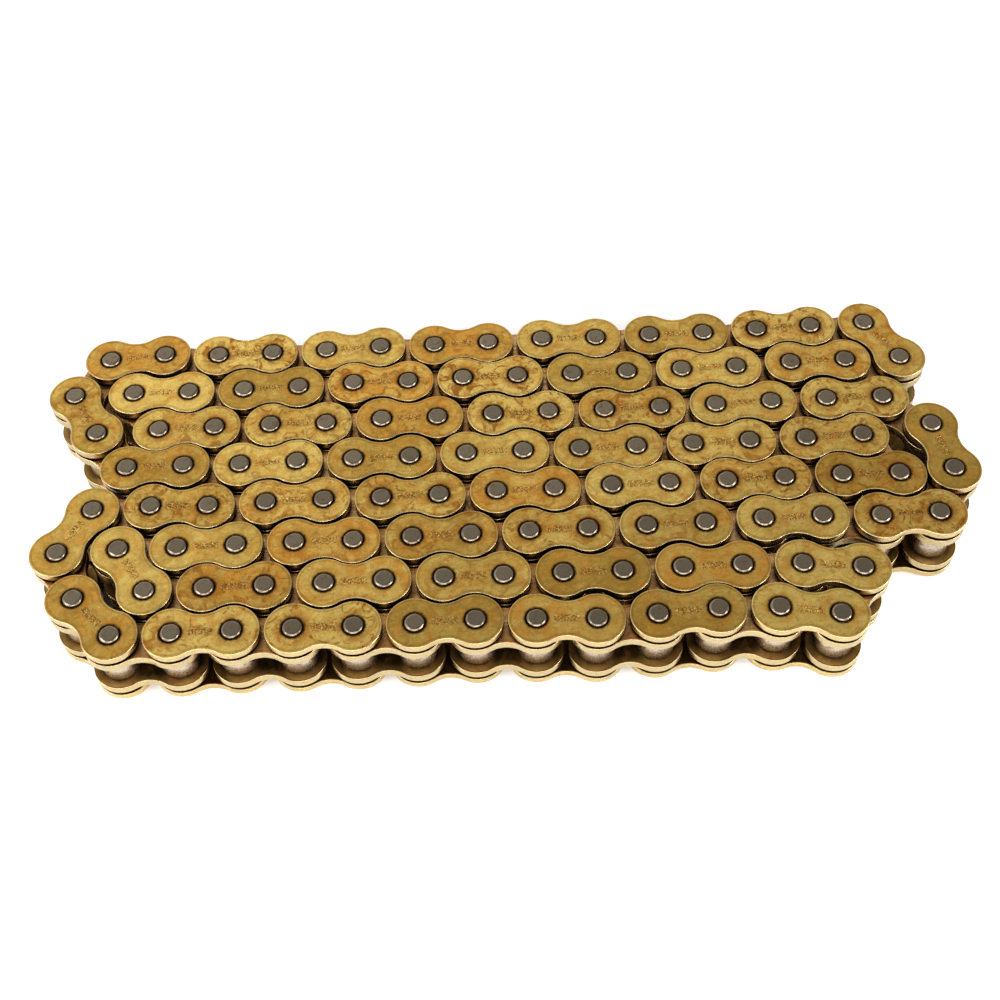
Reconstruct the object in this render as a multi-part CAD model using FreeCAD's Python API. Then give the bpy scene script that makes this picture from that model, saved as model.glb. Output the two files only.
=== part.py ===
import FreeCAD, Part
import math
import os

# Roller chain of 120 links, 15.875 mm pitch, laid flat on its side in eight
# nested rows.  Axes: +Z up along every pin, +X along the rows, +Y towards the
# back row.  Origin at the middle of the footprint, on the plane the pin ends
# rest on.  All lengths in millimetres, all angles in degrees.

# ---------------------------------------------------------------- dimensions
PITCH = 15.875            # pin centre to pin centre
PLATE_R = 7.5             # end radius of every plate
PLATE_WAIST = 5.3         # half height of a plate at its waist
OUTER_T = 2.2             # thickness of an outer plate
INNER_T = 2.6             # thickness of an inner plate
PIN_D = 5.30              # pin diameter
PIN_PROUD = 0.6           # riveted end standing past the outer plate
PIN_CHAMFER = 0.35        # chamfer round each pin end
RING_GAP = 1.2            # gap between an inner and an outer plate
INNER_WIDTH = 9.525       # gap between the two inner plates
BUSH_OD = 7.30            # outside of the bush
BUSH_ID = 5.46            # bore of the bush, 0.08 clear all round the pin
BUSH_PROUD = 0.35         # bush end standing past the inner plate
ROLLER_OD = 10.16         # outside of the roller
ROLLER_ID = 7.50          # bore of the roller, 0.10 clear all round the bush
ROLLER_END_GAP = 0.08     # axial play of the roller at each end
ROLLER_CHAMFER = 0.3      # chamfer round each roller end
RING_SECTION = 1.1        # section of the O-ring
RING_SEAT = 0.05          # clearance between O-ring and bush

# Heights of the stack, from the floor up.
Z_OUTER_LOW = PIN_PROUD
Z_INNER_LOW = Z_OUTER_LOW + OUTER_T + RING_GAP
Z_ROLLER = Z_INNER_LOW + INNER_T
Z_INNER_HIGH = Z_ROLLER + INNER_WIDTH
Z_OUTER_HIGH = Z_INNER_HIGH + INNER_T + RING_GAP
PIN_LENGTH = Z_OUTER_HIGH + OUTER_T + PIN_PROUD

# Lay of the chain.  The pin where the free front run starts, then the heading
# of each link.  NESTED holds the 105 links of the seven inner rows and their
# turns, an outer link first.  RUN holds the 15 links of the front run, an
# inner link first, back to the last pin of NESTED, where the loop is open.
START = (93.380, -35.458)
NESTED = [
    173.37, 178.78, 180.25, 181.13, 179.81, 180.00, 180.00, 180.07, 180.99, 179.93,
    180.25, 181.03, 121.94, 359.64, 0.61, 0.35, 359.83, 0.99, 0.63, 1.03,
    0.40, 0.64, 0.59, 2.22, 0.50, 357.79, 1.27, 64.74, 102.29, 139.22,
    179.38, 181.12, 181.34, 180.46, 180.52, 179.36, 180.78, 181.04, 179.92, 182.44,
    179.25, 180.26, 180.51, 121.84, 359.52, 0.12, 1.14, 2.08, 359.91, 1.31,
    0.28, 359.35, 0.19, 0.53, 0.80, 2.78, 0.99, 0.52, 121.12, 181.52,
    181.86, 182.04, 180.20, 181.03, 179.05, 181.36, 180.88, 179.49, 181.97, 180.87,
    180.71, 176.36, 184.70, 235.71, 299.70, 307.87, 0.51, 358.37, 1.02, 0.29,
    0.44, 1.26, 0.33, 359.75, 0.35, 0.34, 1.36, 0.25, 2.10, 300.36,
    179.36, 180.63, 180.98, 180.34, 180.44, 180.91, 180.31, 181.97, 180.67, 179.71,
    180.66, 181.42, 178.22, 181.99, 239.43,
]
RUN = [
    240.05, 170.81, 178.78, 183.72, 182.29, 177.64, 178.34, 181.52, 180.38, 179.96,
    179.50, 180.87, 179.58, 133.60, 112.90,
]


def walk(start, headings):
    """Pin centres along a run of links."""
    points = [start]
    for heading in headings:
        x, y = points[-1]
        a = math.radians(heading)
        points.append((x + PITCH * math.cos(a), y + PITCH * math.sin(a)))
    return points


def plate(hole_d, thickness):
    """A waisted link plate centred on the origin, lying on z = 0."""
    half = PITCH / 2.0
    waist_r = ((half ** 2 + PLATE_WAIST ** 2 - PLATE_R ** 2)
               / (2.0 * (PLATE_R - PLATE_WAIST)))
    waist_y = PLATE_WAIST + waist_r
    k = PLATE_R / (PLATE_R + waist_r)
    tx, ty = half - half * k, waist_y * k      # tangent point, right half
    v = FreeCAD.Vector
    right = Part.Arc(v(tx, -ty, 0), v(half + PLATE_R, 0, 0), v(tx, ty, 0))
    top = Part.Arc(v(tx, ty, 0), v(0, PLATE_WAIST, 0), v(-tx, ty, 0))
    left = Part.Arc(v(-tx, ty, 0), v(-half - PLATE_R, 0, 0), v(-tx, -ty, 0))
    low = Part.Arc(v(-tx, -ty, 0), v(0, -PLATE_WAIST, 0), v(tx, -ty, 0))
    outline = Part.Wire([a.toShape() for a in (right, top, left, low)])
    body = Part.Face(outline).extrude(v(0, 0, thickness))
    for x in (-half, half):
        body = body.cut(
            Part.makeCylinder(hole_d / 2.0, thickness, v(x, 0, 0)))
    return body.Solids[0]


def ends_chamfered(solid, radius, size):
    """Chamfer the circular edges of the given radius."""
    edges = [e for e in solid.Edges
             if e.Curve.TypeId == "Part::GeomCircle"
             and abs(e.Curve.Radius - radius) < 1e-6]
    return solid.makeChamfer(size, edges).Solids[0]


def tube(od, bore, length):
    outer = Part.makeCylinder(od / 2.0, length)
    return outer.cut(Part.makeCylinder(bore / 2.0, length)).Solids[0]


OUTER_PLATE = plate(PIN_D, OUTER_T)
INNER_PLATE = plate(BUSH_OD, INNER_T)
PIN = ends_chamfered(Part.makeCylinder(PIN_D / 2.0, PIN_LENGTH),
                     PIN_D / 2.0, PIN_CHAMFER)
BUSH = tube(BUSH_OD, BUSH_ID, INNER_WIDTH + 2 * (INNER_T + BUSH_PROUD))
ROLLER = ends_chamfered(
    tube(ROLLER_OD, ROLLER_ID, INNER_WIDTH - 2 * ROLLER_END_GAP),
    ROLLER_OD / 2.0, ROLLER_CHAMFER)
RING = Part.makeTorus(BUSH_OD / 2.0 + RING_SEAT + RING_SECTION / 2.0,
                      RING_SECTION / 2.0)
# Riveted ends of the connecting pin, left without its shank at the pivot
# where the loop is open, so the inner link there can slide out.
STUB_LENGTH = PIN_PROUD + OUTER_T
STUB_LOW = PIN.common(Part.makeCylinder(PIN_D, STUB_LENGTH)).Solids[0]
STUB_HIGH = PIN.common(Part.makeCylinder(
    PIN_D, STUB_LENGTH, FreeCAD.Vector(0, 0, PIN_LENGTH - STUB_LENGTH))).Solids[0]


def put(shape, x, y, z=0.0, heading=0.0):
    """A copy of the shape, turned to its heading and moved to its place."""
    out = shape.copy()
    out.Placement = FreeCAD.Placement(
        FreeCAD.Vector(x, y, z),
        FreeCAD.Rotation(FreeCAD.Vector(0, 0, 1), heading))
    return out


def pair_of_plates(shape, a, b, z_low, z_high):
    heading = math.degrees(math.atan2(b[1] - a[1], b[0] - a[0]))
    x, y = (a[0] + b[0]) / 2.0, (a[1] + b[1]) / 2.0
    return [put(shape, x, y, z_low, heading), put(shape, x, y, z_high, heading)]


def outer_plates(a, b):
    return pair_of_plates(OUTER_PLATE, a, b, Z_OUTER_LOW, Z_OUTER_HIGH)


def inner_plates(a, b):
    return pair_of_plates(INNER_PLATE, a, b, Z_INNER_LOW, Z_INNER_HIGH)


def pins(*points):
    return [put(PIN, x, y) for x, y in points]


def bushes(*points):
    return [put(BUSH, x, y, Z_INNER_LOW - BUSH_PROUD) for x, y in points]


def rings(*points):
    low = Z_INNER_LOW - RING_GAP / 2.0
    high = Z_OUTER_HIGH - RING_GAP / 2.0
    return [put(RING, x, y, z) for x, y in points for z in (low, high)]


def roller(point):
    return put(ROLLER, point[0], point[1], Z_ROLLER + ROLLER_END_GAP)


nodes = {name: [] for name in ("outer_plates", "inner_plates", "pins",
                               "bushes", "rollers", "o_rings")}

# The seven nested rows: outer and inner links in turn.
nest = walk(START, NESTED)
for k in range(len(NESTED)):
    a, b = nest[k], nest[k + 1]
    if k % 2 == 0:
        nodes["outer_plates"] += outer_plates(a, b)
        if k < len(NESTED) - 1:
            nodes["pins"] += pins(a, b)
        else:
            nodes["pins"] += pins(a) + [put(STUB_LOW, b[0], b[1]),
                                        put(STUB_HIGH, b[0], b[1])]
    else:
        nodes["inner_plates"] += inner_plates(a, b)
        nodes["bushes"] += bushes(a, b)
        nodes["rollers"] += [roller(a), roller(b)]
        nodes["o_rings"] += rings(a, b)

# The free front run: fifteen links, each one its own, from the right-hand
# turn to the open pivot at the left-hand turn.
run = walk(START, RUN)
roller_number = 0
for k in range(len(RUN)):
    a, b = run[k], run[k + 1]
    name = "link_%02d" % (k + 1)
    if k % 2 == 0:
        nodes[name + "_inner_plates"] = inner_plates(a, b)
        nodes[name + "_bushes"] = bushes(a, b)
        nodes[name + "_o_rings"] = rings(a, b)
        for point in (a, b):
            roller_number += 1
            nodes["roller_%02d" % roller_number] = [roller(point)]
    else:
        nodes[name + "_outer_plates"] = outer_plates(a, b)
        nodes[name + "_pins"] = pins(a, b)

os.makedirs("parts", exist_ok=True)
for name, solids in nodes.items():
    shape = solids[0] if len(solids) == 1 else Part.makeCompound(solids)
    shape.exportStep("parts/%s.step" % name)
    print(name, len(solids), "solids", round(shape.Volume, 1), "mm3",
          all(s.isValid() for s in solids))

box = Part.makeCompound([s for v in nodes.values() for s in v]).BoundBox
print("nodes", len(nodes), "box", round(box.XMin, 3), round(box.XMax, 3),
      round(box.YMin, 3), round(box.YMax, 3), round(box.ZMin, 3),
      round(box.ZMax, 3))
print("open pivot mismatch",
      round(math.hypot(run[-1][0] - nest[-1][0], run[-1][1] - nest[-1][1]), 4))
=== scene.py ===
import math
import random

import bpy
import numpy as np
from mathutils import Matrix, Vector
from mathutils.geometry import delaunay_2d_cdt


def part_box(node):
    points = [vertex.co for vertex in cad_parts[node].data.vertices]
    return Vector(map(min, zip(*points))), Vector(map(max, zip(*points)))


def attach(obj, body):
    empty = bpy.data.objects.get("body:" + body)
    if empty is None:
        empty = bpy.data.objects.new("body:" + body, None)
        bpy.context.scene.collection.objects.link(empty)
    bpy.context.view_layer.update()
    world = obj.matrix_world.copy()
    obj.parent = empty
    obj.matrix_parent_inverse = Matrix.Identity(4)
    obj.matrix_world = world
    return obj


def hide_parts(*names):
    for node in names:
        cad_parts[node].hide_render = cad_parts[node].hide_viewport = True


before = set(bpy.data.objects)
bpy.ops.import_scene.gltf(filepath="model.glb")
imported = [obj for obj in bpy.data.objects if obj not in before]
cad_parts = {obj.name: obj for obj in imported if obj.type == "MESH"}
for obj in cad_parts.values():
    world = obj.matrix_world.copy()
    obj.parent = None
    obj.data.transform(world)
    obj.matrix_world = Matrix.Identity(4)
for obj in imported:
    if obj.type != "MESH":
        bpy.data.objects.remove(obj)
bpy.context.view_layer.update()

MM = 0.001

# ------------------------------------------------------------------ dimensions
# The chain's own sizes and lay, in millimetres and degrees, as in the CAD.
PITCH, R, WAIST = 15.875, 7.5, 5.3
OUTER_T, INNER_T = 2.2, 2.6
HALF = PITCH / 2
PIN_R, PIN_PROUD = 2.65, 0.6
RING_GAP, INNER_WIDTH = 1.2, 9.525
BUSH_RO, BUSH_RI, BUSH_PROUD = 3.65, 2.73, 0.35
ROLLER_RO, ROLLER_RI, ROLLER_GAP = 5.08, 3.75, 0.08
Z_OUTER_LOW = PIN_PROUD
Z_INNER_LOW = Z_OUTER_LOW + OUTER_T + RING_GAP
Z_ROLLER = Z_INNER_LOW + INNER_T
Z_INNER_HIGH = Z_ROLLER + INNER_WIDTH
Z_OUTER_HIGH = Z_INNER_HIGH + INNER_T + RING_GAP
PIN_LENGTH = Z_OUTER_HIGH + OUTER_T + PIN_PROUD
START = (93.380, -35.458)
NESTED = [
    173.37, 178.78, 180.25, 181.13, 179.81, 180.00, 180.00, 180.07, 180.99, 179.93,
    180.25, 181.03, 121.94, 359.64, 0.61, 0.35, 359.83, 0.99, 0.63, 1.03,
    0.40, 0.64, 0.59, 2.22, 0.50, 357.79, 1.27, 64.74, 102.29, 139.22,
    179.38, 181.12, 181.34, 180.46, 180.52, 179.36, 180.78, 181.04, 179.92, 182.44,
    179.25, 180.26, 180.51, 121.84, 359.52, 0.12, 1.14, 2.08, 359.91, 1.31,
    0.28, 359.35, 0.19, 0.53, 0.80, 2.78, 0.99, 0.52, 121.12, 181.52,
    181.86, 182.04, 180.20, 181.03, 179.05, 181.36, 180.88, 179.49, 181.97, 180.87,
    180.71, 176.36, 184.70, 235.71, 299.70, 307.87, 0.51, 358.37, 1.02, 0.29,
    0.44, 1.26, 0.33, 359.75, 0.35, 0.34, 1.36, 0.25, 2.10, 300.36,
    179.36, 180.63, 180.98, 180.34, 180.44, 180.91, 180.31, 181.97, 180.67, 179.71,
    180.66, 181.42, 178.22, 181.99, 239.43,
]
RUN = [
    240.05, 170.81, 178.78, 183.72, 182.29, 177.64, 178.34, 181.52, 180.38, 179.96,
    179.50, 180.87, 179.58, 133.60, 112.90,
]


def walk(start, headings):
    points = [start]
    for h in headings:
        x, y = points[-1]
        a = math.radians(h)
        points.append((x + PITCH * math.cos(a), y + PITCH * math.sin(a)))
    return points


nest, run = walk(START, NESTED), walk(START, RUN)
# The lay has to be the frame's own.
low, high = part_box("link_02_pins")
for k, v in ((0, min(run[1][0], run[2][0]) - PIN_R), (1, min(run[1][1], run[2][1]) - PIN_R)):
    assert abs(low[k] / MM - v) < 0.05, "the lay here isn't the frame's"

# ------------------------------------------------------------------ mesh tools
rng = random.Random(520)


def rings_to_faces(n, count, first=0, closed=True, flip=False):
    """Quads between count rings of n points each, one above the other."""
    faces = []
    for r in range(count - 1):
        a, b = first + r * n, first + (r + 1) * n
        for i in range(n if closed else n - 1):
            j = (i + 1) % n
            f = (a + i, a + j, b + j, b + i)
            faces.append(f[::-1] if flip else f)
    return faces


class Shape:
    """Points, faces, which faces are flat, and a material number for each face."""

    def __init__(self):
        self.v, self.f, self.flat, self.m = [], [], [], []
        self.shut = []       # points of faces that lie against another piece

    def add(self, points, faces, flat=False, mat=0):
        base = len(self.v)
        self.v += [tuple(p) for p in points]
        self.f += [tuple(base + i for i in f) for f in faces]
        self.flat += [flat] * len(faces)
        self.m += [mat] * len(faces)
        return base

    def faces(self, faces, flat=False, mat=0):
        self.f += [tuple(f) for f in faces]
        self.flat += [flat] * len(faces)
        self.m += [mat] * len(faces)

    def arrays(self):
        return np.array(self.v, float)


def lathe(profile, n, flat_segments=(), mats=None, closed=False):
    """A turned shape from (radius, z) points, bottom to top on the outside."""
    s = Shape()
    ids = []
    for r, z in profile:
        if r < 1e-9:
            ids.append([len(s.v)])
            s.v.append((0.0, 0.0, z))
        else:
            ids.append(list(range(len(s.v), len(s.v) + n)))
            for i in range(n):
                a = 2 * math.pi * (i + 0.5) / n
                s.v.append((r * math.cos(a), r * math.sin(a), z))
    pairs = list(zip(range(len(profile) - 1), range(1, len(profile))))
    if closed:
        pairs.append((len(profile) - 1, 0))
    for k, (p, q) in enumerate(pairs):
        A, B = ids[p], ids[q]
        flat = k in flat_segments
        mat = mats[k] if mats else 0
        for i in range(n):
            j = (i + 1) % n
            if len(A) == 1 and len(B) == 1:
                continue
            if len(A) == 1:
                f = (A[0], B[j], B[i])
            elif len(B) == 1:
                f = (A[i], A[j], B[0])
            else:
                f = (A[i], A[j], B[j], B[i])
            s.f.append(f)
            s.flat.append(flat)
            s.m.append(mat)
    return s


WAIST_R = (HALF ** 2 + WAIST ** 2 - R ** 2) / (2 * (R - WAIST))
WAIST_Y = WAIST + WAIST_R
TANGENT_X = HALF * (1 - R / (R + WAIST_R))


def outline(inset, end_steps=38, waist_steps=15):
    """The waisted outline, counterclockwise, moved inwards by inset."""
    phi = math.atan2(WAIST_Y, -HALF)
    t1 = math.atan2(-WAIST_Y, HALF)
    t2 = math.atan2(-WAIST_Y, -HALF)
    right = [(HALF + (R - inset) * math.cos(a), (R - inset) * math.sin(a))
             for a in np.linspace(-phi, phi, end_steps + 1)]
    top = [((WAIST_R + inset) * math.cos(a), WAIST_Y + (WAIST_R + inset) * math.sin(a))
           for a in np.linspace(t1, t2, waist_steps + 1)[1:-1]]
    half = right + top
    return half + [(-x, -y) for x, y in half]


def circle(r, n, cx=0.0, cy=0.0, turn=0.0):
    return [(cx + r * math.cos(turn + 2 * math.pi * i / n),
             cy + r * math.sin(turn + 2 * math.pi * i / n)) for i in range(n)]


def inside(p, poly):
    x, y = p
    hit = False
    for (x1, y1), (x2, y2) in zip(poly, poly[1:] + poly[:1]):
        if (y1 > y) != (y2 > y) and x < (x2 - x1) * (y - y1) / (y2 - y1) + x1:
            hit = not hit
    return hit


def cap(shape, outer, outer_ids, holes, z, up, mat=0):
    """A flat face at z between the outer loop and its holes, each given as
    (points, their numbers in the shape)."""
    pts, ids, edges = list(outer), list(outer_ids), []
    n = len(outer)
    edges += [(i, (i + 1) % n) for i in range(n)]
    for hp, hi in holes:
        b = len(pts)
        pts += hp
        ids += hi
        edges += [(b + i, b + (i + 1) % len(hp)) for i in range(len(hp))]
    out = delaunay_2d_cdt([Vector(p) for p in pts], edges, [], 0, 1e-7)
    verts, tris, origin = out[0], out[2], out[3]
    where = []
    for k, v in enumerate(verts):
        src = origin[k]
        where.append(ids[src[0]] if src else None)
    keep = []
    for t in tris:
        c = sum((verts[i] for i in t), Vector((0, 0))) / len(t)
        c = (c.x, c.y)
        if not inside(c, outer) or any(inside(c, hp) for hp, _ in holes):
            continue
        f = [where[i] for i in t]
        if None in f:
            continue
        a, b, d = (verts[i] for i in t[:3])
        ccw = (b - a).cross(d - a) > 0
        keep.append(tuple(f) if ccw == up else tuple(f[::-1]))
    shape.faces(keep, flat=True, mat=mat)


def dash(cx, cy, w, h, corner=0.12):
    """A small rounded bar, clockwise from above so it reads as a hole."""
    x, y = w / 2, h / 2
    c = min(corner, x * 0.6, y * 0.6)
    return [(cx - x + c, cy - y), (cx + x - c, cy - y), (cx + x, cy - y + c),
            (cx + x, cy + y - c), (cx + x - c, cy + y), (cx - x + c, cy + y),
            (cx - x, cy + y - c), (cx - x, cy - y + c)]


def plate_shape(thick, hole_r, countersink, marks, top_round, low_round):
    """A link plate with rounded punched edges, its outer face up at z = thick."""
    s = Shape()
    # outer wall, from the lower face to the upper face
    levels = []
    for k in range(3):
        a = math.pi / 2 * k / 2
        levels.append((low_round * (1 - math.sin(a)), low_round * (1 - math.cos(a))))
    for k in range(5):
        a = math.pi / 2 * k / 4
        levels.append((top_round * (1 - math.cos(a)), thick - top_round * (1 - math.sin(a))))
    loops = []
    for inset, z in levels:
        pts = outline(inset)
        loops.append((pts, s.add([(x, y, z) for x, y in pts], [])))
    n = len(loops[0][0])
    s.faces(rings_to_faces(n, len(levels), loops[0][1]))
    # holes: chamfer at the outer face, straight wall, small chamfer below
    hn = 28
    hole_levels = [(hole_r + 0.12, 0.0), (hole_r, 0.12), (hole_r, thick - countersink),
                   (hole_r + countersink, thick)]
    tops, lows = [], []
    for cx in (-HALF, HALF):
        b = len(s.v)
        for r, z in hole_levels:
            for x, y in circle(r, hn, cx, 0.0):
                s.v.append((x, y, z))
        f = rings_to_faces(hn, len(hole_levels), b, flip=True)
        s.faces(f)
        lows.append((circle(hole_levels[0][0], hn, cx), list(range(b, b + hn))))
        tb = b + 3 * hn
        tops.append((circle(hole_levels[3][0], hn, cx), list(range(tb, tb + hn))))
    # stamped bars, sunk into the outer face
    for cx, cy, w, h, depth in marks:
        pts = dash(cx, cy, w, h)
        m = len(pts)
        b = s.add([(x, y, thick) for x, y in pts], [])
        small = dash(cx, cy, w - 0.12, h - 0.12, 0.08)
        s.add([(x, y, thick - depth) for x, y in small], [])
        s.faces(rings_to_faces(m, 2, b, flip=True)[:], flat=True, mat=0)
        # wall faces look inwards and the floor looks up
        s.faces([tuple(b + m + i for i in range(m))], flat=True)
        tops.append((pts, list(range(b, b + m))))
    top_pts, top_b = loops[-1]
    cap(s, top_pts, range(top_b, top_b + n), tops, thick, True)
    # the side that faces into the link, with its own loop just inside the edge
    low_pts, low_b = loops[0]
    in_pts = outline(0.42)
    in_b = s.add([(x, y, 0.0) for x, y in in_pts], [])
    s.faces([(low_b + i, in_b + i, in_b + (i + 1) % n, low_b + (i + 1) % n) for i in range(n)], flat=True)
    for hp, hi in lows:
        s.shut += list(hi)
    s.shut += list(range(in_b, in_b + n))
    cap(s, in_pts, range(in_b, in_b + n), lows, 0.0, False)
    return s


def flipped(shape, height):
    """The same shape turned over about the X axis, in the same height range."""
    out = Shape()
    out.v = [(x, -y, height - z) for x, y, z in shape.v]
    out.f = list(shape.f)
    out.flat, out.m = list(shape.flat), list(shape.m)
    out.shut = list(shape.shut)
    return out


PINS = np.array(nest[:-1] + run[1:])          # every pin of the loop, once


def clearance(w, own):
    """Distance in mm from each point to the nearest plate end of another link,
    seen from above: small in the nested gaps, large along the open sides."""
    mask = np.array([min(math.hypot(x - ox, y - oy) for ox, oy in own) > 0.5 for x, y in PINS])
    others = PINS[mask]
    d = np.hypot(w[:, None, 0] - others[None, :, 0], w[:, None, 1] - others[None, :, 1]).min(axis=1)
    return d - R


def place(parts):
    """Joins (shape, x, y, z, heading, tag, local centre) into arrays. The tag is
    a random number for the piece; local coordinates go out in millimetres."""
    V, F, FL, MT, L, O = [], [], [], [], [], []
    base = 0
    for shape, x, y, z, heading, tag, tilt, own in parts:
        p = np.array(shape.v, float)
        loc = np.column_stack([p[:, 0], p[:, 1], np.full(len(p), tag)])
        if tilt:
            tx, ty = tilt
            p = p.copy()
            p[:, 2] += (p[:, 0] * tx + p[:, 1] * ty)
        a = math.radians(heading)
        c, s = math.cos(a), math.sin(a)
        w = np.column_stack([x + c * p[:, 0] - s * p[:, 1],
                             y + s * p[:, 0] + c * p[:, 1], z + p[:, 2]])
        V.append(w * MM)
        L.append(loc)
        d = clearance(w, own)
        d[shape.shut] = -10.0
        O.append(d)
        F += [tuple(base + i for i in f) for f in shape.f]
        FL += shape.flat
        MT += shape.m
        base += len(p)
    return np.vstack(V), F, FL, MT, np.vstack(L), np.concatenate(O)


def piece(name, parts, materials, body, nodes):
    V, F, FL, MT, L, O = place(parts)
    me = bpy.data.meshes.new(name)
    me.from_pydata(V.tolist(), [], F)
    me.polygons.foreach_set("use_smooth", [not x for x in FL])
    me.polygons.foreach_set("material_index", MT)
    at = me.attributes.new("place", "FLOAT_VECTOR", "POINT")
    at.data.foreach_set("vector", L.astype(np.float32).ravel())
    at = me.attributes.new("open", "FLOAT", "POINT")
    at.data.foreach_set("value", O.astype(np.float32))
    for m in materials:
        me.materials.append(m)
    me.update()
    o = bpy.data.objects.new(name, me)
    bpy.context.scene.collection.objects.link(o)
    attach(o, body)
    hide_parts(*nodes)
    return o


# ------------------------------------------------------------------ materials
class Graph:
    """Short calls for building a node material."""

    def __init__(self, name):
        self.mat = bpy.data.materials.new(name)
        self.mat.use_nodes = True
        self.nt = self.mat.node_tree
        self.nt.nodes.clear()
        self.out = self.nt.nodes.new("ShaderNodeOutputMaterial")
        self.bsdf = self.nt.nodes.new("ShaderNodeBsdfPrincipled")
        self.nt.links.new(self.bsdf.outputs[0], self.out.inputs[0])

    def put(self, socket, value):
        if isinstance(value, bpy.types.NodeSocket):
            self.nt.links.new(value, socket)
        else:
            socket.default_value = value

    def math(self, op, a, b=None, c=None, clamp=False):
        n = self.nt.nodes.new("ShaderNodeMath")
        n.operation, n.use_clamp = op, clamp
        for i, v in enumerate((a, b, c)):
            if v is not None:
                self.put(n.inputs[i], v)
        return n.outputs[0]

    def vmath(self, op, a, b=None):
        n = self.nt.nodes.new("ShaderNodeVectorMath")
        n.operation = op
        self.put(n.inputs[0], a)
        if b is not None:
            self.put(n.inputs[1], b)
        return n.outputs[0]

    def coords(self):
        n = self.nt.nodes.new("ShaderNodeTexCoord")
        return self.vmath("MULTIPLY", n.outputs["Object"], (1000.0, 1000.0, 1000.0))

    def place(self):
        n = self.nt.nodes.new("ShaderNodeAttribute")
        n.attribute_name = "place"
        s = self.nt.nodes.new("ShaderNodeSeparateXYZ")
        self.nt.links.new(n.outputs["Vector"], s.inputs[0])
        return n.outputs["Vector"], s.outputs[0], s.outputs[1], s.outputs[2]

    def openness(self):
        n = self.nt.nodes.new("ShaderNodeAttribute")
        n.attribute_name = "open"
        return n.outputs["Fac"]

    def split(self, v):
        s = self.nt.nodes.new("ShaderNodeSeparateXYZ")
        self.put(s.inputs[0], v)
        return s.outputs[0], s.outputs[1], s.outputs[2]

    def join(self, x, y, z):
        s = self.nt.nodes.new("ShaderNodeCombineXYZ")
        for i, v in enumerate((x, y, z)):
            self.put(s.inputs[i], v)
        return s.outputs[0]

    def noise(self, v, scale, detail=4.0, rough=0.55, distort=0.0):
        n = self.nt.nodes.new("ShaderNodeTexNoise")
        self.put(n.inputs["Vector"], v)
        n.inputs["Scale"].default_value = scale
        n.inputs["Detail"].default_value = detail
        n.inputs["Roughness"].default_value = rough
        n.inputs["Distortion"].default_value = distort
        return n.outputs["Fac"]

    def range(self, v, a, b, c=0.0, d=1.0, smooth=True):
        n = self.nt.nodes.new("ShaderNodeMapRange")
        n.interpolation_type = "SMOOTHSTEP" if smooth else "LINEAR"
        n.clamp = True
        self.put(n.inputs[0], v)
        for i, x in enumerate((a, b, c, d)):
            self.put(n.inputs[i + 1], x)
        return n.outputs[0]

    def mix(self, fac, a, b, mode="MIX"):
        n = self.nt.nodes.new("ShaderNodeMix")
        n.data_type, n.blend_type, n.clamp_factor = "RGBA", mode, True
        self.put(n.inputs[0], fac)
        for s, v in ((n.inputs[6], a), (n.inputs[7], b)):
            if isinstance(v, bpy.types.NodeSocket):
                self.nt.links.new(v, s)
            else:
                s.default_value = (*v, 1.0) if len(v) == 3 else v
        return n.outputs[2]

    def bump(self, height, distance, strength=1.0, normal=None):
        n = self.nt.nodes.new("ShaderNodeBump")
        n.inputs["Strength"].default_value = strength
        n.inputs["Distance"].default_value = distance
        self.put(n.inputs["Height"], height)
        if normal is not None:
            self.put(n.inputs["Normal"], normal)
        return n.outputs[0]

    def finish(self, color, roughness, normal=None, metallic=1.0, **fixed):
        b = self.bsdf
        self.put(b.inputs["Base Color"], color)
        self.put(b.inputs["Roughness"], roughness)
        b.inputs["Metallic"].default_value = metallic
        if normal is not None:
            self.put(b.inputs["Normal"], normal)
        for k, v in fixed.items():
            b.inputs[k.replace("_", " ")].default_value = v
        return self.mat


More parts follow.
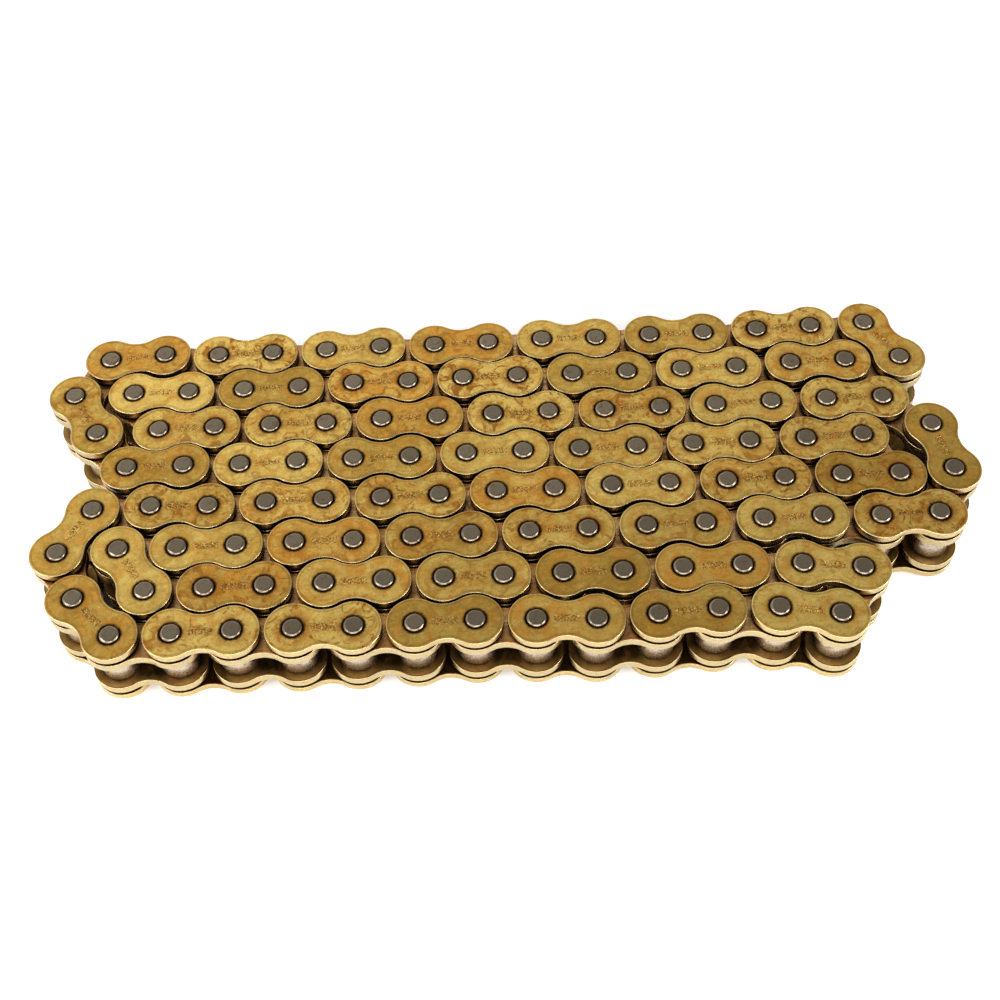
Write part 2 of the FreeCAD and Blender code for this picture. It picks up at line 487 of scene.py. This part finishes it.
def gold(name, bright, dark, warm, stain, stain_amount, rough, edge, grime_and_shade, covered):
    """Gold plating over brushed steel: uneven tone, orange-brown bloom round
    the pins, specks, hairline scratches, fine brushing, a worn pale rim that
    is partly painted highlight with a line of painted shade inside it, and dark
    grease with painted shade on the edges and faces close to another link."""
    g = Graph(name)
    P = g.coords()
    px, py, pz = g.split(P)
    vec, x, y, tag = g.place()
    free = g.openness()
    ax = g.math("ABSOLUTE", x)
    ay = g.math("ABSOLUTE", y)
    dx = g.math("SUBTRACT", ax, HALF)
    pin_d = g.math("SQRT", g.math("ADD", g.math("MULTIPLY", dx, dx), g.math("MULTIPLY", y, y)))
    end_d = g.math("SUBTRACT", R, pin_d)
    wy = g.math("SUBTRACT", ay, WAIST_Y)
    waist_d = g.math("SUBTRACT", g.math("SQRT", g.math("ADD", g.math("MULTIPLY", x, x), g.math("MULTIPLY", wy, wy))), WAIST_R)
    in_waist = g.math("LESS_THAN", ax, TANGENT_X)
    waist_d = g.math("ADD", waist_d, g.math("MULTIPLY", g.math("SUBTRACT", in_waist, 1.0), 100.0))
    rim_d = g.math("MAXIMUM", end_d, waist_d)
    # a seed that moves the patterns from link to link
    seed = g.vmath("ADD", P, g.join(g.math("MULTIPLY", tag, 37.0), g.math("MULTIPLY", tag, 53.0), g.math("MULTIPLY", tag, 71.0)))
    broad = g.noise(seed, 0.10, 3.0, 0.5)
    patch = g.noise(seed, 0.34, 6.0, 0.66, 0.8)
    fine = g.noise(seed, 1.5, 5.0, 0.68, 0.5)
    speck = g.noise(seed, 3.6, 3.0, 0.6)
    brush = g.noise(g.join(g.math("MULTIPLY", x, 0.45), g.math("MULTIPLY", y, 4.5), g.math("MULTIPLY", tag, 41.0)), 1.0, 5.0, 0.65)
    # tone, uneven from link to link and across each plate
    tag2 = g.math("FRACT", g.math("MULTIPLY", tag, 7.31))
    tag3 = g.math("FRACT", g.math("MULTIPLY", tag, 23.7))
    tone = g.math("ADD", 0.40, g.math("MULTIPLY", g.math("SUBTRACT", tag, 0.5), 1.15))
    tone = g.math("ADD", tone, g.math("MULTIPLY", g.math("SUBTRACT", broad, 0.5), 1.4))
    tone = g.math("ADD", tone, g.math("MULTIPLY", g.math("SUBTRACT", patch, 0.5), 1.7))
    tone = g.math("ADD", tone, g.math("MULTIPLY", g.math("SUBTRACT", brush, 0.5), 0.8), clamp=True)
    color = g.mix(tone, bright, dark)
    # some links and patches are warmer
    cloud = g.noise(seed, 0.17, 4.0, 0.6, 1.0)
    heat = g.math("ADD", g.range(tag3, 0.45, 1.0, 0.0, 0.55), g.range(cloud, 0.44, 0.62, -0.15, 0.55), clamp=True)
    color = g.mix(heat, color, warm)
    # mottling
    color = g.mix(g.range(fine, 0.48, 0.78, 0.0, 0.55), color, tuple(0.50 * c for c in dark))
    color = g.mix(g.range(fine, 0.44, 0.26, 0.0, 0.42), color, (1.0, 0.80, 0.28))
    color = g.mix(g.range(speck, 0.62, 0.72, 0.0, 0.45), color, (0.95, 0.74, 0.26))
    color = g.mix(g.range(speck, 0.34, 0.26, 0.0, 0.45), color, tuple(0.35 * c for c in dark))
    # orange-brown bloom round the pins, between them, and loose patches
    near = g.range(pin_d, 2.8, 6.2, 1.0, 0.0)
    bloom = g.math("MULTIPLY", near, g.range(patch, 0.38, 0.56, 0.08, 1.0))
    mid = g.math("MULTIPLY", g.range(ay, 0.5, 2.2, 1.0, 0.0), g.range(ax, 2.2, 5.0, 1.0, 0.0))
    between = g.math("MULTIPLY", mid, g.range(fine, 0.42, 0.62, 0.2, 1.0))
    loose = g.range(g.noise(seed, 0.22, 6.0, 0.7, 1.6), 0.49, 0.62, 0.0, 0.95)
    amount = g.math("MAXIMUM", g.math("MAXIMUM", bloom, between), loose)
    amount = g.math("MULTIPLY", amount, g.range(tag2, 0.0, 1.0, 0.22, 1.15, smooth=False))
    color = g.mix(g.math("MULTIPLY", amount, stain_amount, clamp=True), color, stain)
    # bright and dark grains over the stamped bars
    grains = g.noise(seed, 2.6, 2.0, 0.5)
    stamped = g.math("MULTIPLY", g.range(ay, 0.85, 1.4, 1.0, 0.0), g.range(ax, 3.2, 3.9, 1.0, 0.0))
    color = g.mix(g.math("MULTIPLY", stamped, g.range(grains, 0.54, 0.66, 0.0, 0.55)), color, (1.0, 0.80, 0.34))
    color = g.mix(g.math("MULTIPLY", stamped, g.range(grains, 0.52, 0.40, 0.0, 0.8)), color, (0.22, 0.10, 0.02))
    # hairline scratches and drag marks
    line = g.math("ABSOLUTE", g.math("SUBTRACT", g.noise(seed, 0.16, 3.0, 0.5, 1.0), 0.5))
    hair = g.math("MULTIPLY", g.range(line, 0.0, 0.0055, 1.0, 0.0), g.range(g.noise(seed, 0.33, 2.0, 0.5), 0.54, 0.62))
    color = g.mix(g.math("MULTIPLY", hair, 0.75), color, (0.16, 0.075, 0.02))
    # worn pale rim, partly painted highlight on the rounded edge (on inner plates it fades out where another link is
    # close, so there it is painted highlight), and a darker line of painted shade inside it
    rim = g.math("MULTIPLY", g.range(rim_d, 0.12, 0.42, 1.0, 0.0), 0.85)
    if covered:
        rim = g.math("MULTIPLY", g.range(rim_d, 0.03, 0.12, 1.0, 0.0), g.range(free, 0.6, 3.0, 0.15, 0.9))
    color = g.mix(rim, color, edge)
    inner_line = g.math("MULTIPLY", g.range(rim_d, 0.34, 0.6, 0.0, 1.0), g.range(rim_d, 0.6, 1.25, 1.0, 0.0))
    color = g.mix(g.math("MULTIPLY", inner_line, 0.38), color, tuple(0.6 * c for c in stain))
    # painted shade with dark grease: edges that face another link closely are darkened
    wall = g.range(rim_d, 0.03, 0.16, 1.0, 0.0)
    shut = g.math("SUBTRACT", 1.0, g.range(free, 0.7, 3.2))
    color = g.mix(g.math("MULTIPLY", wall, g.math("MULTIPLY", shut, 0.92)), color, grime_and_shade)
    color = g.mix(g.math("MULTIPLY", wall, g.range(fine, 0.5, 0.75, 0.0, 0.5)), color, stain)
    # painted shade mixed with dirt: faces that lie under the next plate or face into the link are darkened
    if covered:
        hidden = g.math("MULTIPLY", g.range(pin_d, 7.25, 7.5, 1.0, 0.0), g.range(rim_d, 0.06, 0.16))
        color = g.mix(g.math("MULTIPLY", hidden, 0.93), color, tuple(1.3 * c for c in grime_and_shade))
    inward = g.math("MULTIPLY", g.range(free, -5.0, -1.0, 1.0, 0.0), g.range(patch, 0.35, 0.65, 0.97, 0.80))
    if covered:
        # painted shade: the inward face of an inner plate darkens away from its rim
        lip = g.mix(g.range(g.math("ADD", rim_d, g.math("MULTIPLY", g.math("SUBTRACT", fine, 0.5), 1.2)), 0.1, 2.5), covered, tuple(0.22 * c for c in covered))
        lip = g.mix(g.range(patch, 0.50, 0.62, 0.0, 0.55), lip, (0.30, 0.115, 0.022))
        # painted shadow: a dark ring round the foot of the roller
        foot = g.math("MULTIPLY", g.range(pin_d, 5.1, 5.65, 1.0, 0.0), g.range(patch, 0.35, 0.6, 0.35, 0.85))
        lip = g.mix(foot, lip, tuple(1.5 * c for c in grime_and_shade))
        color = g.mix(inward, color, lip)
    else:
        color = g.mix(inward, color, grime_and_shade)
    # dirt ring round the pin, partly painted shade in the countersink round it
    ring = g.math("MULTIPLY", g.range(g.math("ADD", pin_d, g.math("MULTIPLY", g.math("SUBTRACT", fine, 0.5), 1.1)), 3.02, 3.70, 1.0, 0.0), 0.97)
    color = g.mix(ring, color, (0.022, 0.011, 0.005))
    rn = g.math("ADD", g.range(patch, 0.3, 0.7, rough - 0.07, rough + 0.09, smooth=False),
                g.math("MULTIPLY", g.math("SUBTRACT", brush, 0.5), 0.25))
    rn = g.math("ADD", rn, g.math("MULTIPLY", amount, 0.12))
    rn = g.math("SUBTRACT", rn, g.math("MULTIPLY", g.range(rim_d, 0.0, 0.4, 1.0, 0.0), 0.06), clamp=True)
    h = g.math("ADD", g.math("MULTIPLY", brush, 0.5), g.math("ADD", g.math("MULTIPLY", fine, 0.6), g.math("MULTIPLY", speck, 0.35)))
    nrm = g.bump(h, 0.00006, 0.6)
    nrm = g.bump(g.noise(seed, 0.55, 2.0, 0.5), 0.00018, 0.4, nrm)
    return g.finish(color, rn, nrm)


def steel(name, base, tint, rough, grime_and_shade, grime_amount, scale=1.0, shut=(0.0, 0.0), shut_amount=0.0, relief=0.00003):
    """Ground steel with faint tints, fine scratches and patches of dirt;
    darker where it faces another link closely, which is painted shade."""
    g = Graph(name)
    P = g.coords()
    vec, x, y, tag = g.place()
    seed = g.vmath("ADD", P, g.join(g.math("MULTIPLY", tag, 31.0), g.math("MULTIPLY", tag, 17.0), g.math("MULTIPLY", tag, 43.0)))
    patch = g.noise(seed, 0.6 * scale, 5.0, 0.65, 0.6)
    fine = g.noise(seed, 3.0 * scale, 4.0, 0.6)
    scratch = g.noise(g.join(g.math("MULTIPLY", x, 1.0), g.math("MULTIPLY", y, 9.0), g.math("MULTIPLY", tag, 19.0)), 1.0, 3.0, 0.5)
    color = g.mix(g.range(patch, 0.35, 0.65), base, tint)
    color = g.mix(g.math("MULTIPLY", tag, 0.6), color, tuple(0.72 * c for c in base))
    color = g.mix(g.range(fine, 0.50, 0.75, 0.0, 0.5 if relief > 0.00002 else 0.15), color, tuple(0.5 * c for c in tint))
    color = g.mix(g.range(scratch, 0.58, 0.72, 0.0, 0.35), color, tuple(min(1.0, 1.5 * c) for c in base))
    dirt = g.math("MULTIPLY", g.range(patch, 0.50, 0.66, 0.0, 1.0), grime_amount)
    color = g.mix(dirt, color, grime_and_shade)
    # painted shade: darker where the surface faces another link closely
    if shut_amount:
        near = g.math("SUBTRACT", 1.0, g.range(g.openness(), shut[0], shut[1]))
        color = g.mix(g.math("MULTIPLY", near, shut_amount), color, tuple(0.45 * c for c in grime_and_shade))
    rn = g.math("ADD", g.range(fine, 0.3, 0.7, rough - 0.05, rough + 0.08), g.math("MULTIPLY", dirt, 0.2), clamp=True)
    h = g.math("ADD", g.math("MULTIPLY", scratch, 0.6), g.math("MULTIPLY", fine, 0.4))
    return g.finish(color, rn, g.bump(h, relief, 0.5))


def rubber(name):
    g = Graph(name)
    P = g.coords()
    n1 = g.noise(P, 1.6, 4.0, 0.6)
    color = g.mix(g.range(n1, 0.4, 0.65), (0.012, 0.010, 0.009), (0.035, 0.020, 0.012))
    rn = g.range(n1, 0.3, 0.7, 0.28, 0.5)
    return g.finish(color, rn, g.bump(g.noise(P, 6.0, 2.0), 0.00002, 0.4), metallic=0.0, Specular_IOR_Level=0.6)


# the last colours: the pale rim (worn plating, partly painted highlight), dark grease with painted shade, and the
# inner plates' inward face
OUTER_GOLD = gold("outer_plate_gold", (1.0, 0.71, 0.185), (0.54, 0.325, 0.058), (0.82, 0.395, 0.060), (0.36, 0.125, 0.014), 0.85, 0.34,
                  (0.53, 0.425, 0.220), (0.060, 0.026, 0.009), None)
INNER_GOLD = gold("inner_plate_gold", (0.95, 0.60, 0.27), (0.58, 0.32, 0.12), (0.66, 0.31, 0.10), (0.26, 0.10, 0.03), 0.85, 0.36,
                  (0.51, 0.425, 0.225), (0.045, 0.020, 0.008), (0.47, 0.305, 0.095))
PIN_STEEL = steel("pin_steel", (0.240, 0.200, 0.143), (0.30, 0.242, 0.168), 0.28, (0.12, 0.075, 0.042), 0.55)
BUSH_STEEL = steel("bush_steel", (0.40, 0.37, 0.33), (0.34, 0.29, 0.24), 0.35, (0.12, 0.06, 0.03), 0.7)
# the rollers darken where another link is close: painted shade
ROLLER_STEEL = steel("roller_steel", (0.66, 0.575, 0.475), (0.53, 0.42, 0.32), 0.27, (0.22, 0.085, 0.033), 0.60, 0.6, (2.4, 5.0), 0.85,
                     0.000008)
RING_RUBBER = rubber("ring_rubber")

# ------------------------------------------------------------------ shapes
MARKS = {
    0: [(-2.94 + 0.84 * i, 0.0, 0.40, 1.40, 0.17) for i in range(8)],
    1: [(-2.94 + 0.98 * i, 0.36 * (-1) ** i, 0.52, 0.56, 0.17) for i in range(7)],
    2: [(x, y, w, 0.40, 0.17) for y in (-0.42, 0.42) for x, w in ((-2.5, 1.0), (-1.0, 1.2), (0.6, 1.0), (2.2, 1.2))],
}
OUTER = [plate_shape(OUTER_T, PIN_R + 0.04, 0.42, MARKS[k], 0.30, 0.14) for k in range(3)]
OUTER_LOW = [flipped(s, OUTER_T) for s in OUTER]
INNER = plate_shape(INNER_T, BUSH_RO, 0.10, [], 0.20, 0.14)
INNER_LOW = flipped(INNER, INNER_T)


def pin_shape(z0, z1, low_head, high_head, n=40):
    """A pin, or one end of one. A riveted end is flat, slightly squared by
    the rivet tool, with a rolled edge down to the full diameter."""
    s = Shape()
    rings = []

    def squared(r, amount, turn):
        pts = []
        for i in range(n):
            a = 2 * math.pi * i / n
            k = 1.0 + amount * (0.030 * math.cos(4 * a + turn) + 0.018 * math.cos(7 * a + 2.1 * turn) - 0.02)
            pts.append((r * k * math.cos(a), r * k * math.sin(a)))
        return pts

    head = ((2.08, 0.0, 1.3), (2.24, 0.04, 1.3), (2.42, 0.16, 1.0), (2.55, 0.32, 0.5), (2.63, 0.46, 0.2), (PIN_R, 0.58, 0.0))
    plain = ((PIN_R - 0.1, 0.0, 0.0), (PIN_R, 0.1, 0.0))
    for r, dz, k in (head if low_head else plain):
        rings.append((squared(r, k, 0.4), z0 + dz))
    for r, dz, k in reversed(head if high_head else plain):
        rings.append((squared(r, k, 1.3), z1 - dz))
    first = 0
    for pts, z in rings:
        s.add([(x, y, z) for x, y in pts], [])
    s.faces(rings_to_faces(n, len(rings), first))
    top = (len(rings) - 1) * n
    s.faces([tuple(top + i for i in range(n))], flat=True)
    s.faces([tuple(first + i for i in reversed(range(n)))], flat=True)
    return s


PIN = pin_shape(0.0, PIN_LENGTH, True, True)
STUB = PIN_PROUD + OUTER_T
STUB_LOW = pin_shape(0.0, STUB, True, False)
STUB_HIGH = pin_shape(PIN_LENGTH - STUB, PIN_LENGTH, False, True)

bush_len = INNER_WIDTH + 2 * (INNER_T + BUSH_PROUD)
BUSH = lathe([(BUSH_RO - 0.12, 0.0), (BUSH_RO, 0.12), (BUSH_RO, bush_len - 0.12), (BUSH_RO - 0.12, bush_len),
              (BUSH_RI + 0.1, bush_len), (BUSH_RI, bush_len - 0.1), (BUSH_RI, 0.1), (BUSH_RI + 0.1, 0.0)], 28, closed=True)

roller_len = INNER_WIDTH - 2 * ROLLER_GAP
rr, rl = ROLLER_RO, roller_len
ROLLER = lathe([(rr - 0.34, 0.0), (rr - 0.22, 0.03), (rr - 0.08, 0.12), (rr - 0.02, 0.26), (rr, 0.44),
                (rr, rl * 0.5), (rr, rl - 0.44), (rr - 0.02, rl - 0.26), (rr - 0.08, rl - 0.12), (rr - 0.22, rl - 0.03), (rr - 0.34, rl),
                (ROLLER_RI + 0.12, rl), (ROLLER_RI, rl - 0.12), (ROLLER_RI, 0.12), (ROLLER_RI + 0.12, 0.0)], 40, closed=True)


def torus(major, minor, n, m):
    s = Shape()
    for i in range(n):
        a = 2 * math.pi * i / n
        for j in range(m):
            b = 2 * math.pi * j / m
            rad = major + minor * math.cos(b)
            s.v.append((rad * math.cos(a), rad * math.sin(a), minor * math.sin(b)))
    for i in range(n):
        for j in range(m):
            k, l = (i + 1) % n, (j + 1) % m
            s.f.append((i * m + j, k * m + j, k * m + l, i * m + l))
    s.flat, s.m = [False] * len(s.f), [0] * len(s.f)
    return s


RING = torus(BUSH_RO + 0.05 + 0.55, 0.55, 32, 8)

# ------------------------------------------------------------------ the chain
def middle(a, b):
    return ((a[0] + b[0]) / 2, (a[1] + b[1]) / 2, math.degrees(math.atan2(b[1] - a[1], b[0] - a[0])))


def outer_parts(a, b, kind):
    x, y, h = middle(a, b)
    if abs((h + 180) % 360 - 180) > 100:
        h += 180.0
    t1, t2 = rng.random(), rng.random()
    tilt = (rng.uniform(-0.0022, 0.0022), rng.uniform(-0.004, 0.004))
    return [(OUTER[kind], x, y, Z_OUTER_HIGH, h, t1, tilt, (a, b)),
            (OUTER_LOW[kind], x, y, Z_OUTER_LOW, h, t2, None, (a, b))]


def inner_parts(a, b):
    x, y, h = middle(a, b)
    t = rng.random()
    return [(INNER, x, y, Z_INNER_HIGH, h, t, None, (a, b)),
            (INNER_LOW, x, y, Z_INNER_LOW, h, rng.random(), None, (a, b))]


def pin_parts(*points):
    return [(PIN, x, y, 0.0, rng.uniform(0, 360), rng.random(), None, ((x, y),)) for x, y in points]


def bush_parts(*points):
    return [(BUSH, x, y, Z_INNER_LOW - BUSH_PROUD, 0.0, rng.random(), None, ((x, y),)) for x, y in points]


def ring_parts(*points):
    return [(RING, x, y, z, 0.0, rng.random(), None, ((x, y),)) for x, y in points
            for z in (Z_INNER_LOW - RING_GAP / 2, Z_OUTER_HIGH - RING_GAP / 2)]


def roller_parts(*points):
    return [(ROLLER, x, y, Z_ROLLER + ROLLER_GAP, rng.uniform(0, 360), rng.random(), None, ((x, y),)) for x, y in points]


all_bushes, all_rings, all_rollers = [], [], []
for k in range(len(NESTED)):
    a, b = nest[k], nest[k + 1]
    kind = rng.choice((0, 0, 1, 2))
    if k % 2 == 0:
        piece("nested_%03d_outer_plates" % (k + 1), outer_parts(a, b, kind), [OUTER_GOLD], "root", ["outer_plates"])
        if k < len(NESTED) - 1:
            parts = pin_parts(a, b)
        else:
            parts = pin_parts(a) + [(STUB_LOW, b[0], b[1], 0.0, 0.0, rng.random(), None, (b,)),
                                    (STUB_HIGH, b[0], b[1], 0.0, 0.0, rng.random(), None, (b,))]
        piece("nested_%03d_pins" % (k + 1), parts, [PIN_STEEL], "root", ["pins"])
    else:
        piece("nested_%03d_inner_plates" % (k + 1), inner_parts(a, b), [INNER_GOLD], "root", ["inner_plates"])
        all_bushes += bush_parts(a, b)
        all_rings += ring_parts(a, b)
        all_rollers += roller_parts(a, b)
piece("nested_bushes", all_bushes, [BUSH_STEEL], "root", ["bushes"])
piece("nested_o_rings", all_rings, [RING_RUBBER], "root", ["o_rings"])
piece("nested_rollers", all_rollers, [ROLLER_STEEL], "root", ["rollers"])

number = 0
for k in range(len(RUN)):
    a, b = run[k], run[k + 1]
    name = "link_%02d" % (k + 1)
    kind = rng.choice((0, 0, 1, 2))
    if k % 2 == 0:
        piece("run_%02d_inner_plates" % (k + 1), inner_parts(a, b), [INNER_GOLD], name, [name + "_inner_plates"])
        piece("run_%02d_bushes" % (k + 1), bush_parts(a, b), [BUSH_STEEL], name, [name + "_bushes"])
        piece("run_%02d_o_rings" % (k + 1), ring_parts(a, b), [RING_RUBBER], name, [name + "_o_rings"])
        for p in (a, b):
            number += 1
            r = "roller_%02d" % number
            piece("run_" + r, roller_parts(p), [ROLLER_STEEL], r, [r])
    else:
        piece("run_%02d_outer_plates" % (k + 1), outer_parts(a, b, kind), [OUTER_GOLD], name, [name + "_outer_plates"])
        piece("run_%02d_pins" % (k + 1), pin_parts(a, b), [PIN_STEEL], name, [name + "_pins"])

# ------------------------------------------------------------------ the stage
scene = bpy.context.scene


def open_ground(step=1.5, nx=100, ny=52, reach=7.2, keep=3):
    """Which points of a grid on the floor lie outside the chain's outline,
    and not in a hole enclosed by it. 1 outside, 0 under or enclosed, with a
    soft edge between."""
    xs = (np.arange(2 * nx + 1) - nx) * step
    ys = (np.arange(2 * ny + 1) - ny) * step
    gx, gy = np.meshgrid(xs, ys, indexing="ij")
    far = np.full(gx.shape, 1e9)
    ends = [(nest[k], nest[k + 1]) for k in range(len(NESTED))] + [(run[k], run[k + 1]) for k in range(len(RUN))]
    for (ax, ay), (bx, by) in ends:
        ux, uy = (bx - ax) / PITCH, (by - ay) / PITCH
        t = np.clip((gx - ax) * ux + (gy - ay) * uy, 0, PITCH)
        far = np.minimum(far, np.hypot(gx - ax - t * ux, gy - ay - t * uy))
    blocked = far < reach
    out = np.zeros(gx.shape, bool)
    stack = [(0, 0)]
    out[0, 0] = True
    while stack:
        i, j = stack.pop()
        for p, q in ((i + 1, j), (i - 1, j), (i, j + 1), (i, j - 1)):
            if 0 <= p < out.shape[0] and 0 <= q < out.shape[1] and not out[p, q] and not blocked[p, q]:
                out[p, q] = True
                stack.append((p, q))
    for _ in range(keep):
        grown = out.copy()
        grown[1:] |= out[:-1]
        grown[:-1] |= out[1:]
        grown[:, 1:] |= out[:, :-1]
        grown[:, :-1] |= out[:, 1:]
        out = grown
    soft = np.pad(out.astype(float), 8, mode="edge")
    for _ in range(8):
        soft = (soft[:-2] + soft[1:-1] + soft[2:]) / 3.0
        soft = (soft[:, :-2] + soft[:, 1:-1] + soft[:, 2:]) / 3.0
    return xs, ys, soft


xs, ys, lit = open_ground()
fx = np.concatenate([[-3000.0], xs, [3000.0]])
fy = np.concatenate([[-3000.0], ys, [3000.0]])
lit = np.pad(lit, 1, constant_values=1.0)
fv = [(x * MM, y * MM, -0.00005) for x in fx for y in fy]
nyy = len(fy)
ff = [(i * nyy + j, (i + 1) * nyy + j, (i + 1) * nyy + j + 1, i * nyy + j + 1)
      for i in range(len(fx) - 1) for j in range(nyy - 1)]
fm = bpy.data.meshes.new("floor")
fm.from_pydata(fv, [], ff)
at = fm.attributes.new("open", "FLOAT", "POINT")
at.data.foreach_set("value", lit.ravel().astype(np.float32))
fm.update()
floor = bpy.data.objects.new("floor", fm)
scene.collection.objects.link(floor)
fg = Graph("floor_pale")
fn = fg.noise(fg.coords(), 0.02, 2.0)
lit_here = fg.openness()
fc = fg.mix(fg.range(fn, 0.3, 0.7), (0.90, 0.90, 0.895), (0.915, 0.915, 0.91))
# painted shade: the floor under the chain and in holes it encloses is darker and does not glow; the open floor glows
# evenly white
fc = fg.mix(lit_here, (0.62, 0.59, 0.555), fc)
fg.finish(fc, 0.9, None, metallic=0.0, Specular_IOR_Level=0.1)
fg.bsdf.inputs["Emission Color"].default_value = (1.0, 0.995, 0.985, 1.0)
fg.put(fg.bsdf.inputs["Emission Strength"], fg.math("MULTIPLY", lit_here, 0.30))
fm.materials.append(fg.mat)

world = bpy.data.worlds.new("studio")
scene.world = world
world.use_nodes = True
nt = world.node_tree
nt.nodes.clear()
wo = nt.nodes.new("ShaderNodeOutputWorld")
bg = nt.nodes.new("ShaderNodeBackground")
tc = nt.nodes.new("ShaderNodeTexCoord")
sp = nt.nodes.new("ShaderNodeSeparateXYZ")
nt.links.new(tc.outputs["Generated"], sp.inputs[0])


def step_down(source, a, b, c, d):
    n = nt.nodes.new("ShaderNodeMapRange")
    n.clamp = True
    nt.links.new(source, n.inputs[0])
    for i, v in enumerate((a, b, c, d)):
        n.inputs[i + 1].default_value = v
    return n.outputs[0]


def product(a, b):
    n = nt.nodes.new("ShaderNodeMath")
    n.operation = "MULTIPLY"
    nt.links.new(a, n.inputs[0])
    nt.links.new(b, n.inputs[1])
    return n.outputs[0]


# a tent of soft light: bright low down, dimmer overhead and to the right
strength = product(step_down(sp.outputs[2], 0.69, 0.91, 1.10, 0.26),
                   step_down(sp.outputs[0], 0.0, 0.42, 1.0, 0.43))
nt.links.new(strength, bg.inputs[1])
bg.inputs[0].default_value = (1.0, 0.985, 0.965, 1.0)
nt.links.new(bg.outputs[0], wo.inputs[0])


def softbox(name, at, to, size, power, color=(1, 1, 1)):
    data = bpy.data.lights.new(name, "AREA")
    data.shape, data.size, data.size_y = "RECTANGLE", size[0], size[1]
    data.energy, data.color = power, color
    o = bpy.data.objects.new(name, data)
    scene.collection.objects.link(o)
    o.location = at
    o.rotation_mode = "QUATERNION"
    o.rotation_quaternion = (Vector(to) - Vector(at)).to_track_quat("-Z", "Y")
    return o


softbox("front", (0.05, -0.95, 0.55), (0, 0, 0), (1.0, 0.5), 8.3)
softbox("left", (-0.90, -0.35, 0.60), (0, 0, 0), (0.6, 0.6), 7.0)
softbox("right", (0.95, -0.35, 0.42), (0, 0, 0), (0.45, 0.35), 8.0)

# ------------------------------------------------------------------ the camera
F, ELEV, ROLL, HEIGHT, CX, CY = 1527.8324, 0.96503453, 0.03902601, 343.0837, -1.92213, -247.71184
cam_data = bpy.data.cameras.new("camera")
cam_data.sensor_width, cam_data.lens = 36.0, F * 36.0 / 1000.0
cam_data.clip_start, cam_data.clip_end = 0.01, 20.0
cam = bpy.data.objects.new("camera", cam_data)
scene.collection.objects.link(cam)
forward = Vector((0.0, math.cos(ELEV), -math.sin(ELEV)))
right = Vector((1.0, 0.0, 0.0))
up = right.cross(forward)
c, s = math.cos(ROLL), math.sin(ROLL)
cx_axis = right * c - up * s
cy_axis = right * s + up * c
cam.matrix_world = Matrix.Translation(Vector((CX, CY, HEIGHT + PIN_LENGTH)) * MM) @ Matrix(
    (cx_axis, cy_axis, -forward)).transposed().to_4x4()
scene.camera = cam

scene.view_settings.view_transform = "Standard"
scene.view_settings.look = "None"
scene.view_settings.exposure = 0.0
scene.view_settings.gamma = 1.0
